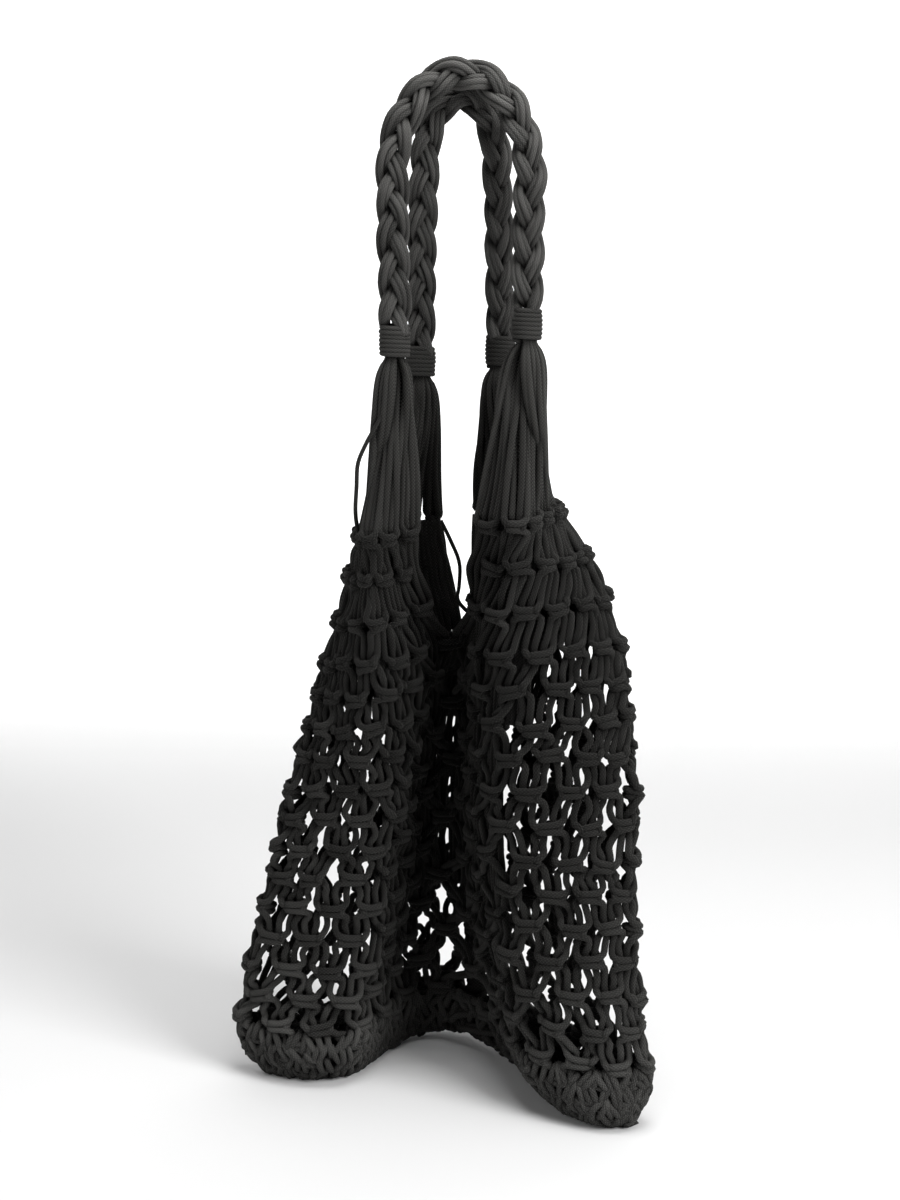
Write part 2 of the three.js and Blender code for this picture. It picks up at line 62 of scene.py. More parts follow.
# Plan outline of the net. Columns: drop as a share of NET_DROP, then eight places as shares
# of BAG_WIDTH and BAG_DEPTH: left tip, left fold, valley, right fold, right tip, right back,
# back centre, left back. The last column is how widely the front valley is rounded.
SECTIONS = np.array([
    [0.00, -0.246, 0.067, -0.204, -0.211, -0.038, -0.122, 0.131, -0.267, 0.238, -0.011,
     0.185, 0.211, -0.008, 0.244, -0.177, 0.244, 0.35],
    [0.10, -0.288, 0.044, -0.192, -0.189, -0.042, 0.022, 0.108, -0.256, 0.323, -0.100,
     0.227, 0.167, 0.000, 0.267, -0.200, 0.233, 0.45],
    [0.21, -0.331, 0.022, -0.185, -0.167, -0.019, 0.167, 0.085, -0.233, 0.373, -0.189,
     0.238, 0.089, 0.012, 0.300, -0.215, 0.189, 0.50],
    [0.35, -0.388, 0.000, -0.177, -0.133, -0.023, 0.244, 0.077, -0.233, 0.400, -0.278,
     0.223, 0.000, -0.019, 0.389, -0.231, 0.122, 0.60],
    [0.50, -0.442, 0.000, -0.192, -0.089, -0.042, 0.289, 0.085, -0.256, 0.408, -0.333,
     0.223, -0.056, -0.038, 0.433, -0.254, 0.122, 0.70],
    [0.70, -0.508, 0.022, -0.238, -0.056, -0.050, 0.322, 0.115, -0.289, 0.412, -0.389,
     0.246, -0.100, -0.046, 0.467, -0.300, 0.156, 0.80],
    [0.85, -0.550, 0.056, -0.277, -0.067, -0.050, 0.344, 0.154, -0.311, 0.431, -0.422,
     0.292, -0.100, -0.046, 0.500, -0.354, 0.189, 0.95],
    [0.94, -0.550, 0.067, -0.292, -0.078, -0.038, 0.350, 0.192, -0.344, 0.435, -0.422,
     0.323, -0.100, -0.038, 0.511, -0.362, 0.189, 1.00],
    [1.00, -0.492, 0.078, -0.300, -0.022, -0.023, 0.361, 0.269, -0.400, 0.400, -0.400,
     0.323, -0.172, -0.023, 0.500, -0.335, 0.172, 0.90],
])
# The closed base: how far down it is, and how far it has drawn in to the wing's middle
BASE_ALONG = [0.0, 0.45, 0.80, 0.97, 1.05, 1.30]
BASE_DRAW_IN = [0.0, 0.0, 0.08, 0.30, 0.45, 0.96]
# How far past the floor's level the surface runs on inside the base, as a share of the base
BASE_RUN_ON = 0.3
# Share of a front quarter's cords that lie on its wing, from the tip to the fold, at the top
# and at the floor: left wing, right wing
WING_SHARES = ((0.62, 0.41), (0.71, 0.50))
# The valley's right half is rounded more widely near the floor: from which drop, by which drop
# it is widest, and how many times as widely
WIDER_FROM, WIDER_AT, WIDER = 0.72, 0.93, 1.35

# The cords: their thickness, four to a knot, and how far apart the rings of their tubes are
CORD = 4.4
CORDS_PER_KNOT = 4
KNOTS_ROUND = 4 * KNOTS_PER_QUARTER
CORDS = KNOTS_ROUND * CORDS_PER_KNOT
CORDS_PER_QUARTER = CORDS // 4
STEP = 2.3
# How uneven the cords' thickness is, as a share
CORD_UNEVEN = 0.03
# The tight rows below the net's own rows: how far apart they are, and how many
DENSE_ROW, DENSE_ROWS = 12.6, 4
LAST_ROW = NET_ROWS + DENSE_ROWS
# The first row with a knot in the middle of the front or back, below the neck's slit
FRONT_JOIN_ROW = BACK_JOIN_ROW = LOOSE_ROWS + 1
# A knot's cords spread over the room up to the next knot, but not over more than this
WIDEST_PITCH = 27.0
# How much of the room between the back's knots its cords spread over. The front's take it all.
# So do those in the middle of the back, and less and less over these knots beside it.
BACK_SPREAD, BACK_MIDDLE_KNOTS = 0.3, 3.0
# How far the knots' middles lie inside the net's middle surface
NET_INSET, BASE_INSET = 2.2, 4.4


def row_drop(row):
    """Share of NET_DROP at which a row of knots lies, row 1 first; dense rows follow the net."""
    loose = min(row - 1, LOOSE_ROWS)
    close = min(max(row - 1 - LOOSE_ROWS, 0), NET_ROWS - 1 - LOOSE_ROWS)
    dense = max(row - NET_ROWS, 0)
    return (loose * LOOSE_ROW + close * CLOSE_ROW + dense * DENSE_ROW) / NET_DROP


# The net's middle surface is worked out once, on a grid of levels and of steps along a quarter
RIM_DROP = row_drop(NET_ROWS)
LEVELS = np.linspace(0, 1 + BASE_RUN_ON * (1 - RIM_DROP), 150)
SHARE_STEPS = 48
CURVE_POINTS = 14


def cubic(a, slope_a, b, slope_b, t):
    """Smooth curve from a to b that starts and ends with the given slopes."""
    t2, t3 = t * t, t * t * t
    start = (2 * t3 - 3 * t2 + 1) * a + (t3 - 2 * t2 + t) * slope_a
    return start + (3 * t2 - 2 * t3) * b + (t3 - t2) * slope_b


def section_at(drop):
    """The table's columns at a level, smoothly between its rows."""
    drops = SECTIONS[:, 0]
    i = int(np.clip(np.searchsorted(drops, drop, side="right") - 1, 0, len(drops) - 2))
    before, after = max(i - 1, 0), min(i + 2, len(drops) - 1)
    span = drops[i + 1] - drops[i]
    slope_a = (SECTIONS[i + 1] - SECTIONS[before]) / (drops[i + 1] - drops[before]) * span
    slope_b = (SECTIONS[after] - SECTIONS[i]) / (drops[after] - drops[i]) * span
    return cubic(SECTIONS[i], slope_a, SECTIONS[i + 1], slope_b, (drop - drops[i]) / span)


def neck_gap(width, join_row, power, drop):
    """How wide a neck is open at a level."""
    return width * max(0.0, 1 - (drop / row_drop(join_row)) ** power)


def quarter_line(start, fold, end, shift, neck_first, shares):
    """One quarter of the outline, at the given shares of its length. Start, fold and end are
    each a place with its slope. The shift opens the neck at the end where the neck is."""
    t = np.linspace(0, 1, CURVE_POINTS)[:, None]
    first = cubic(*start, *fold, t)
    second = cubic(*fold, *end, t)
    points = np.vstack([first, second[1:]])
    share = np.linspace(0, 1, len(points))
    points[:, 0] += shift * ((1 - share) if neck_first else share) ** 2
    lengths = np.concatenate([[0], np.cumsum(np.linalg.norm(np.diff(points, axis=0), axis=1))])
    wanted = shares * lengths[-1]
    return np.stack([np.interp(wanted, lengths, points[:, k]) for k in (0, 1)], axis=1)


def kept_share(shares, natural, wanted):
    """Shares of a line's length that put the wanted share of the cords before its fold."""
    bend = (natural - wanted) / (wanted * (1 - natural))
    return shares * (1 + bend) / (1 + bend * shares)


def outline(drop, shares):
    """Plan outline at a level: front left, back left, back right and front right quarters."""
    row = section_at(drop)
    scale = np.array([BAG_WIDTH, BAG_DEPTH])
    places = [row[1 + 2 * k:3 + 2 * k] * scale for k in range(8)]
    left_tip, left_fold, valley, right_fold, right_tip, right_back, back_centre, left_back = places
    tip_slope = [way / np.linalg.norm(way) * TIP_ROUND
                 for way in (left_back - left_fold, right_fold - right_back)]
    valley_slope = (left_fold - right_fold) * row[-1]
    right_valley_slope = valley_slope * np.interp(drop, [WIDER_FROM, WIDER_AT], [1.0, WIDER])
    left_fold_slope, right_fold_slope = (left_tip - valley) / 2, (valley - right_tip) / 2
    left_back_slope, right_back_slope = (back_centre - left_tip) / 2, (right_tip - back_centre) / 2
    back_slope = (right_back - left_back) / 2
    front = neck_gap(FRONT_NECK_GAP, FRONT_JOIN_ROW, FRONT_NECK_POWER, drop) / 2
    back = neck_gap(BACK_NECK_GAP, BACK_JOIN_ROW, BACK_NECK_POWER, drop) / 2
    wings = [np.linalg.norm(tip - fold) for tip, fold in ((left_tip, left_fold), (right_tip, right_fold))]
    valleys = [np.linalg.norm(fold - valley - (side * front, 0))
               for fold, side in ((left_fold, -1), (right_fold, 1))]
    wing_shares = [top + (low - top) * min(drop, 1.0) for top, low in WING_SHARES]
    left, right = (kept_share(shares, wing / (wing + inner), wanted)
                   for wing, inner, wanted in zip(wings, valleys, wing_shares))
    left_end, right_end = (left_tip, tip_slope[0]), (right_tip, tip_slope[1])
    middle = (back_centre, back_slope)
    return [
        quarter_line((valley, valley_slope), (left_fold, left_fold_slope), left_end,
                     -front, True, 1 - left[::-1]),
        quarter_line(left_end, (left_back, left_back_slope), middle, -back, False, shares),
        quarter_line(middle, (right_back, right_back_slope), right_end, back, True, shares),
        quarter_line(right_end, (right_fold, right_fold_slope), (valley, right_valley_slope),
                     front, False, right),
    ]


def build_surface():
    """Grid of points on the net's middle surface: quarter, level, share, xyz."""
    shares = np.linspace(0, 1, SHARE_STEPS + 1)
    grid = np.zeros((4, len(LEVELS), SHARE_STEPS + 1, 3))
    half = 2 * KNOTS_PER_QUARTER
    turns = np.arange(4)[:, None] * KNOTS_PER_QUARTER + shares[None, :] * KNOTS_PER_QUARTER
    from_middle = np.minimum(turns % half, half - turns % half) / KNOTS_PER_QUARTER
    lift = BASE_MIDDLE_LIFT * np.maximum(0, 1 - BASE_LIFT_REACH * from_middle) ** 2
    for level, drop in enumerate(LEVELS):
        plan = np.array(outline(min(drop, 1.0), shares))
        z = ROW_ONE_Z - NET_DROP * drop + SIDE_TILT * plan[:, :, 0] * (1 - drop)
        along = (drop - RIM_DROP) / (1 - RIM_DROP)
        if along > 0:
            opposite = plan[[1, 0, 3, 2]][:, ::-1]
            draw_in = np.interp(along, BASE_ALONG, BASE_DRAW_IN)
            plan = plan + (0.5 * (plan + opposite) - plan) * draw_in
            rim_z = ROW_ONE_Z - NET_DROP * RIM_DROP + SIDE_TILT * plan[:, :, 0] * (1 - RIM_DROP)
            down = min(along, 1.0)
            z = rim_z + (FLOOR_Z + NET_WALL / 2 + lift * down - rim_z) * down
        grid[:, level, :, :2] = plan
        grid[:, level, :, 2] = z
    return grid


GRID = build_surface()


def surface(drop, turn, quarter=None):
    """Points of the net for arrays of drop and turn (in knots, 0 to 24). With a quarter given,
    a turn past its end runs straight on."""
    drop, turn = np.broadcast_arrays(np.asarray(drop, float), np.asarray(turn, float))
    if quarter is None:
        quarter = np.floor((turn % KNOTS_ROUND) / KNOTS_PER_QUARTER).astype(int)
    start = np.asarray(quarter) * KNOTS_PER_QUARTER
    into_quarter = (turn - start + KNOTS_ROUND / 2) % KNOTS_ROUND - KNOTS_ROUND / 2
    j = into_quarter / KNOTS_PER_QUARTER * SHARE_STEPS
    # Kept just short of the last level, so that there is always a next one
    i = np.clip(np.interp(drop, LEVELS, np.arange(len(LEVELS))), 0, len(LEVELS) - 1.001)
    j0 = np.clip(np.floor(j).astype(int), 0, SHARE_STEPS - 1)
    i0 = np.floor(i).astype(int)
    fi, fj = (i - i0)[..., None], (j - j0)[..., None]
    top = GRID[quarter, i0, j0] * (1 - fj) + GRID[quarter, i0, j0 + 1] * fj
    low = GRID[quarter, i0 + 1, j0] * (1 - fj) + GRID[quarter, i0 + 1, j0 + 1] * fj
    return top * (1 - fi) + low * fi


def unit(v):
    """Vectors of length one."""
    return v / np.maximum(np.linalg.norm(v, axis=-1, keepdims=True), 1e-9)


def knot_frame(drop, turn, quarter=None):
    """Place of a knot and its directions: along the row, up, and out of the bag."""
    reach_turn, reach_drop = 0.35, 0.02
    place = surface(drop, turn, quarter)
    along = surface(drop, turn + reach_turn, quarter) - surface(drop, turn - reach_turn, quarter)
    up = surface(drop - reach_drop, turn, quarter) - surface(drop + reach_drop, turn, quarter)
    pitch = np.linalg.norm(along) / (2 * reach_turn)
    along = unit(along)
    up = unit(up - along * np.sum(up * along, axis=-1, keepdims=True))
    return place, along, up, np.cross(up, along), pitch


# A square knot, in cord diameters: across, up and out. The first working cord makes the two
# bars in front, the second one the two bars behind.
FRONT_CORD = np.array([
    (-1.50, 1.45, 0.0), (-1.34, 1.02, 0.40), (-0.98, 0.70, 0.84), (-0.40, 0.56, 1.02),
    (0.28, 0.54, 1.0), (0.76, 0.46, 0.72), (0.97, 0.20, 0.20), (0.97, -0.20, 0.20),
    (0.76, -0.46, 0.72), (0.28, -0.54, 1.0), (-0.40, -0.56, 1.02), (-0.98, -0.68, 0.84),
    (-1.34, -1.00, 0.40), (-1.50, -1.45, 0.0)])
BACK_CORD = np.array([
    (1.50, 1.45, 0.0), (1.36, 1.05, 0.66), (1.08, 0.45, 0.92), (0.80, 0.30, -0.35),
    (0.25, 0.52, -0.98), (-0.55, 0.50, -0.98), (-0.96, 0.35, -0.20), (-1.06, -0.05, 0.65),
    (-0.92, -0.52, 0.95), (-0.76, -0.72, -0.30), (-0.25, -0.52, -0.98), (0.55, -0.55, -0.98),
    (1.16, -0.95, -0.30), (1.50, -1.45, 0.0)])
CORE_CORD = np.array([(0.50, 1.45, 0.0), (0.47, 0.6, 0.0), (0.47, -0.6, 0.0), (0.50, -1.45, 0.0)])
# How tall the knots are, as a share of that, in the net and in the tight rows
KNOT_HEIGHT, DENSE_KNOT_HEIGHT = 0.84, 0.78
# How uneven the knots are: millimetres down in the net and in the tight rows, share of a knot
# sideways, radians of lean and of turn, and millimetres in or out
UNEVEN_DOWN, DENSE_UNEVEN_DOWN, UNEVEN_SIDEWAYS = 1.1, 0.6, 0.05
UNEVEN_LEAN, UNEVEN_TURN, UNEVEN_OUT = 0.10, 0.12, 0.8
# Knots in the tight rows lean and turn this many times as much
DENSE_UNRULY = 2.0
# A knot whose last draw is above this is tied as a mirror image
MIRRORED_ABOVE = 0.15
# How far a cord sways between two knots, in millimetres: sideways in the upper rows and in the
# others, and in or out
SWAY_UPPER, SWAY_LOWER, SWAY_OUT = 0.6, 1.3, 0.8


def knot_points(place, along, up, out, pitch, position, mirrored, height):
    """Control points of one of a knot's four cords, from its top to its bottom."""
    flip = -1.0 if mirrored else 1.0
    across_position = (CORDS_PER_KNOT - 1 - position) if mirrored else position
    if across_position == 0:
        shape = FRONT_CORD.copy()
    elif across_position == CORDS_PER_KNOT - 1:
        shape = BACK_CORD.copy()
    else:
        shape = CORE_CORD.copy()
        shape[:, 0] *= -1 if across_position == 1 else 1
    shape[:, 0] *= flip * min(pitch, WIDEST_PITCH) / (CORDS_PER_KNOT * CORD)
    shape[:, 1] *= height
    return place + CORD * (shape[:, :1] * along + shape[:, 1:2] * up + shape[:, 2:] * out)


def turn_pair(first, second, angle):
    """Two directions at right angles, both turned by an angle in their own plane."""
    return (first * math.cos(angle) + second * math.sin(angle),
            second * math.cos(angle) - first * math.sin(angle))


def make_knots():
    """Every knot of every row: its frame, with a little hand-made unevenness."""
    knots = {}
    back_middle = 2 * KNOTS_PER_QUARTER
    for row in range(1, LAST_ROW + 1):
        for k in range(KNOTS_ROUND):
            turn = k + (0.5 if row % 2 else 1.0)
            slit = {0: FRONT_JOIN_ROW, back_middle: BACK_JOIN_ROW}.get(int(turn) % KNOTS_ROUND)
            if row % 2 == 0 and slit is not None and row < slit:
                continue
            dense = row > NET_ROWS
            unruly = DENSE_UNRULY if dense else 1.0
            drift = rng.normal(0, 1, 6)
            drop = row_drop(row) + drift[0] * (DENSE_UNEVEN_DOWN if dense else UNEVEN_DOWN) / NET_DROP
            place, along, up, out, pitch = knot_frame(drop, turn + drift[1] * UNEVEN_SIDEWAYS)
            along, up = turn_pair(along, up, drift[2] * UNEVEN_LEAN * unruly)
            along, out = turn_pair(along, out, drift[3] * UNEVEN_TURN * unruly)
            place = place + out * (drift[4] * UNEVEN_OUT - (BASE_INSET if dense else NET_INSET))
            if k // KNOTS_PER_QUARTER in (1, 2) and not dense:
                natural = CORDS_PER_KNOT * CORD
                near_middle = max(0.0, 1 - abs(turn - back_middle) / BACK_MIDDLE_KNOTS)
                spread = BACK_SPREAD + (1 - BACK_SPREAD) * near_middle
                pitch = min(pitch, natural + (pitch - natural) * spread)
            knots[row, k] = (place, along, up, out, pitch, drift[5] > MIRRORED_ABOVE)
    return knots


def cord_knot(cord, row):
    """Which knot a cord passes through in a row, and its position in it."""
    shifted = cord if row % 2 else (cord - CORDS_PER_KNOT // 2) % CORDS
    return shifted // CORDS_PER_KNOT, shifted % CORDS_PER_KNOT


def net_path(cord, knots):
    """Control points of a cord from the first row of knots to the middle of the base, with
    the row that each belongs to."""
    quarter = cord // CORDS_PER_QUARTER
    points, rows = [], []
    for row in range(1, LAST_ROW + 1):
        k, position = cord_knot(cord, row)
        if (row, k) in knots:
            place, along, up, out, pitch, mirrored = knots[row, k]
            height = DENSE_KNOT_HEIGHT if row > NET_ROWS else KNOT_HEIGHT
            new = knot_points(place, along, up, out, pitch, position, mirrored, height)
        else:
            turn = (cord + 0.5) / CORDS_PER_KNOT
            place, along, _, out, _ = knot_frame(row_drop(row), turn, quarter)
            new = np.array([place + out * rng.normal(0, SWAY_OUT)])
        if points:
            last = points[-1][-1]
            loose = SWAY_LOWER if row > LOOSE_ROWS + 2 else SWAY_UPPER
            sway = along * rng.normal(0, loose) + out * rng.normal(0, SWAY_OUT)
            points.append((0.5 * (last + new[0]) + sway)[None])
            rows.append([row - 0.5])
        points.append(new)
        rows.append([row] * len(new))
    return np.vstack(points), np.concatenate(rows)


def smooth_line(points, step=STEP):
    """Points at about equal steps along a smooth curve through the given points, and for each
    one how far it is along them, counted in control points."""
    padded = np.vstack([2 * points[0] - points[1], points, 2 * points[-1] - points[-2]])
    # Steps of the curve between two control points
    parts = 6
    t = (np.arange(parts) / parts)[None, :, None]
    p0, p1, p2, p3 = (padded[i:i + len(points) - 1, None, :] for i in range(4))
    curve = 0.5 * (2 * p1 + (p2 - p0) * t + (2 * p0 - 5 * p1 + 4 * p2 - p3) * t ** 2
                   + (3 * p1 - p0 - 3 * p2 + p3) * t ** 3)
    curve = np.vstack([curve.reshape(-1, 3), points[-1:]])
    index = np.arange(len(curve)) / parts
    lengths = np.concatenate([[0], np.cumsum(np.linalg.norm(np.diff(curve, axis=0), axis=1))])
    count = max(2, int(round(lengths[-1] / step)) + 1)
    wanted = np.linspace(0, lengths[-1], count)
    line = np.stack([np.interp(wanted, lengths, curve[:, k]) for k in range(3)], axis=1)
    return line, np.interp(wanted, lengths, index)


def line_frames(line):
    """Two directions across a line at each of its points, carried along it without a twist."""
    tangents = unit(np.gradient(line, axis=0))
    # A slanting direction that no cord starts along
    side = np.cross(tangents[0], (0.3, -1.0, 0.1))
    side /= np.linalg.norm(side)
    sides = np.zeros_like(line)
    for i, tangent in enumerate(tangents):
        side = side - tangent * side.dot(tangent)
        side /= math.sqrt(side.dot(side))
        sides[i] = side
    return sides, np.cross(tangents, sides)


class CordMesh:
    """Many cords gathered into one mesh."""

    def __init__(self, sides=8):
        self.sides = sides
        self.vertices, self.quads, self.ends, self.lengthwise, self.tones = [], [], [], [], []
        self.count = 0

    def add(self, line, radius, darker=0.0):
        """A tube along a line. The radius, and how much painted shade darkens it, can be one number or one
        for each point."""
        sides, n = self.sides, len(line)
        first, second = line_frames(line)
        radius = np.broadcast_to(np.asarray(radius, float), (n,))
        angle = 2 * np.pi * np.arange(sides) / sides
        across = (first[:, None] * np.cos(angle)[None, :, None]
                  + second[:, None] * np.sin(angle)[None, :, None])
        rings = line[:, None] + radius[:, None, None] * across
        base = self.count
        grid = base + np.arange(n * sides).reshape(n, sides)
        following = np.roll(grid, -1, axis=1)
        quads = np.stack([grid[:-1], following[:-1], following[1:], grid[1:]], axis=-1).reshape(-1, 4)
        lengths = np.concatenate([[0], np.cumsum(np.linalg.norm(np.diff(line, axis=0), axis=1))])
        # The braid of each cord starts up to 40 mm along, so that cords side by side differ
        start = rng.uniform(0, 40)
        turn = np.arange(sides) / sides
        u = np.broadcast_to((lengths + start)[:, None], (n, sides))
        v = np.broadcast_to(turn[None, :], (n, sides))
        loops_u = np.stack([u[:-1], u[:-1], u[1:], u[1:]], axis=-1).reshape(-1, 4)
        loops_v = np.stack([v[:-1], v[:-1] + 1 / sides, v[1:] + 1 / sides, v[1:]], axis=-1).reshape(-1, 4)
        self.vertices.append(rings.reshape(-1, 3))
        self.quads.append(quads)
        self.lengthwise.append(np.stack([loops_u * METRE, loops_v], axis=-1))
        self.ends.append((grid[0][::-1].copy(), grid[-1].copy(),
                          (lengths[0] + start) * METRE, (lengths[-1] + start) * METRE))
        # Its tone: a random one of its own for the cord, less the painted shade
        self.tones.append(np.repeat(rng.normal(0, 1) - np.broadcast_to(darker, (n,)), sides))
        self.count += n * sides

    def build(self, name, material, nodes, slot):
        """One closed mesh of all the cords, with its length and turn as a UV layer."""
        vertices = np.vstack(self.vertices) * METRE
        vertices[:, 2] = np.maximum(vertices[:, 2], FLOOR_Z * METRE)
        quads = np.vstack(self.quads)
        uvs = [np.vstack(self.lengthwise).reshape(-1, 2)]
        loops = [quads.reshape(-1)]
        totals = [np.full(len(quads), 4)]
        for low, high, at_low, at_high in self.ends:
            for ring, at in ((low, at_low), (high, at_high)):
                loops.append(ring)
                totals.append([self.sides])
                uvs.append(np.stack([np.full(self.sides, at), np.linspace(0, 1, self.sides)], axis=1))
        loops, totals, uvs = np.concatenate(loops), np.concatenate(totals), np.vstack(uvs)
        mesh = bpy.data.meshes.new(name)
        mesh.vertices.add(len(vertices))
        mesh.vertices.foreach_set("co", vertices.astype(np.float32).ravel())
        mesh.loops.add(len(loops))
        mesh.loops.foreach_set("vertex_index", loops.astype(np.int32))
        mesh.polygons.add(len(totals))
        starts = np.concatenate([[0], np.cumsum(totals)[:-1]])
        mesh.polygons.foreach_set("loop_start", starts.astype(np.int32))
        mesh.polygons.foreach_set("loop_total", totals.astype(np.int32))
        mesh.polygons.foreach_set("use_smooth", np.ones(len(totals), bool))
        layer = mesh.uv_layers.new(name="lay")
        layer.data.foreach_set("uv", uvs.astype(np.float32).ravel())
        tone = mesh.attributes.new("tone", "FLOAT", "POINT")
        tone.data.foreach_set("value", np.concatenate(self.tones).astype(np.float32))
        mesh.update(calc_edges=True)
        mesh.validate()
        mesh.materials.append(material)
        piece = bpy.data.objects.new(name, mesh)
        bpy.context.collection.objects.link(piece)
        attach(piece, "root")
        if nodes:
            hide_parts(*nodes)


# The cords' cotton. The braid repeats every so many metres, with so many strands each way, and
# the braid and the fibres raise the surface.
BRAID_LENGTH, BRAID_STRANDS = 0.0176, 4
BRAID_RELIEF, FIBRE_RELIEF = 0.9, 0.35
# How much lighter or darker it gets from cord to cord (this share also scales the painted shade of the
# front valley held in the tone), in patches, and on the braid's ribs
CORD_TONE, PATCH_TONE, BRAID_TONE = 0.16, 0.8, 0.55
# The middle values of the patches and the braid, and the darkest share of the colour
PATCH_MIDDLE, BRAID_MIDDLE, DARKEST = 0.5, 0.4, 0.16
# A colour ramp holds no value above one, so strengths are stored as shares of this
STRONGEST = 3.4
# Painted light and shade by height, in metres: how strongly each part's colour is scaled there. The net
# is lighter near the floor and darkest at mid height, and the shoulders and handles are lighter towards their
# tops
NET_PAINTED_LIGHT = [(-0.61, 3.1), (-0.575, 2.9), (-0.52, 1.35), (-0.36, 0.8), (-0.26, 0.8), (-0.23, 1.1)]
SHOULDER_PAINTED_LIGHT = [(-0.24, 0.75), (-0.13, 1.15)]
HANDLE_PAINTED_LIGHT = [(-0.13, 1.0), (-0.05, 1.0), (0.0, 1.35), (0.04, 1.9)]


def cotton(name, colour, painted_light, hollow_shade):
    """Matt black cotton cord: a round braid seen as crossing ribs, with a little fuzz. Its colour is scaled
    over height by a ramp of painted light and shade, and the last argument sets how much painted shade
    darkens it where other cords are close."""
    material = bpy.data.materials.new(name)
    material.use_nodes = True
    tree = material.node_tree
    nodes, links = tree.nodes, tree.links
    nodes.clear()
    output = nodes.new("ShaderNodeOutputMaterial")
    shader = nodes.new("ShaderNodeBsdfPrincipled")
    links.new(shader.outputs["BSDF"], output.inputs["Surface"])
    shader.inputs["Roughness"].default_value = 0.92
    shader.inputs["Specular IOR Level"].default_value = 0.06
    shader.inputs["Sheen Weight"].default_value = 0.1
    shader.inputs["Sheen Roughness"].default_value = 0.5
    shader.inputs["Sheen Tint"].default_value = (0.6, 0.59, 0.56, 1)

    def maths(operation, a, b=None):
        """One step of arithmetic on one or two values, each a number or a node's output."""
        node = nodes.new("ShaderNodeMath")
        node.operation = operation
        for socket, value in zip(node.inputs, (a, b)):
            if value is None:
                continue
            if isinstance(value, (int, float)):
                socket.default_value = value
            else:
                links.new(value, socket)
        return node.outputs[0]

    def noise(scale, detail):
        """A cloudy pattern in the cord's material."""
        node = nodes.new("ShaderNodeTexNoise")
        node.inputs["Scale"].default_value = scale
        node.inputs["Detail"].default_value = detail
        links.new(position.outputs["Object"], node.inputs["Vector"])
        return node.outputs["Fac"]

    def parts_of(vector):
        """The X, Y and Z of a vector."""
        split = nodes.new("ShaderNodeSeparateXYZ")
        links.new(vector, split.inputs[0])
        return split.outputs

    # Relief: the braid from the cord's own length and turn, and the fibres
    position = nodes.new("ShaderNodeTexCoord")
    lay = nodes.new("ShaderNodeUVMap")
    lay.uv_map = "lay"
    along, turn, _ = parts_of(lay.outputs["UV"])
    phase_along = maths("MULTIPLY", along, 2 * math.pi * BRAID_STRANDS / BRAID_LENGTH)
    phase_turn = maths("MULTIPLY", turn, 2 * math.pi * BRAID_STRANDS)
    one = maths("ABSOLUTE", maths("SINE", maths("ADD", phase_along, phase_turn)))
    other = maths("ABSOLUTE", maths("SINE", maths("SUBTRACT", phase_along, phase_turn)))
    braid = maths("MULTIPLY", one, other)
    fibres = noise(2600, 3)
    relief = nodes.new("ShaderNodeBump")
    relief.inputs["Strength"].default_value = 0.9
    relief.inputs["Distance"].default_value = 0.0009
    raised = maths("ADD", maths("MULTIPLY", braid, BRAID_RELIEF), maths("MULTIPLY", fibres, FIBRE_RELIEF))
    links.new(raised, relief.inputs["Height"])
    links.new(relief.outputs["Normal"], shader.inputs["Normal"])

    # Colour: uneven from cord to cord and place to place, with painted light and shade by height, painted
    # shade in the deep front valley through the tone, and painted shade in hollows
    tone = nodes.new("ShaderNodeAttribute")
    tone.attribute_name = "tone"
    patches = maths("SUBTRACT", noise(28, 2), PATCH_MIDDLE)
    ribs = maths("SUBTRACT", braid, BRAID_MIDDLE)
    level = maths("MULTIPLY", tone.outputs["Fac"], CORD_TONE)
    level = maths("ADD", level, maths("MULTIPLY", patches, PATCH_TONE))
    level = maths("ADD", level, maths("MULTIPLY", ribs, BRAID_TONE))
    scale = maths("MAXIMUM", maths("ADD", level, 1.0), DARKEST)
    # Painted light and shade: a ramp scales the colour by height
    low, high = painted_light[0][0], painted_light[-1][0]
    height = parts_of(position.outputs["Object"])["Z"]
    ramp = nodes.new("ShaderNodeValToRGB")
    links.new(maths("DIVIDE", maths("SUBTRACT", height, low), high - low), ramp.inputs["Fac"])
    while len(ramp.color_ramp.elements) < len(painted_light):
        ramp.color_ramp.elements.new(0.5)
    for element, (z, strength) in zip(ramp.color_ramp.elements, painted_light):
        element.position = (z - low) / (high - low)
        element.color = (strength / STRONGEST, strength / STRONGEST, strength / STRONGEST, 1)
    painted_light_scale = maths("MULTIPLY", scale, maths("MULTIPLY", ramp.outputs["Color"], STRONGEST))
    # Painted shade: ambient occlusion darkens the colour where other cords are close
    hollow = nodes.new("ShaderNodeAmbientOcclusion")
    hollow.samples = 4
    hollow.inputs["Distance"].default_value = 0.09
    tint = nodes.new("ShaderNodeVectorMath")
    tint.operation = "SCALE"
    tint.inputs[0].default_value = colour
    hollow_shaded = maths("MULTIPLY", painted_light_scale, maths("POWER", hollow.outputs["AO"], hollow_shade))
    links.new(hollow_shaded, tint.inputs["Scale"])
    links.new(tint.outputs["Vector"], shader.inputs["Base Color"])
    return material


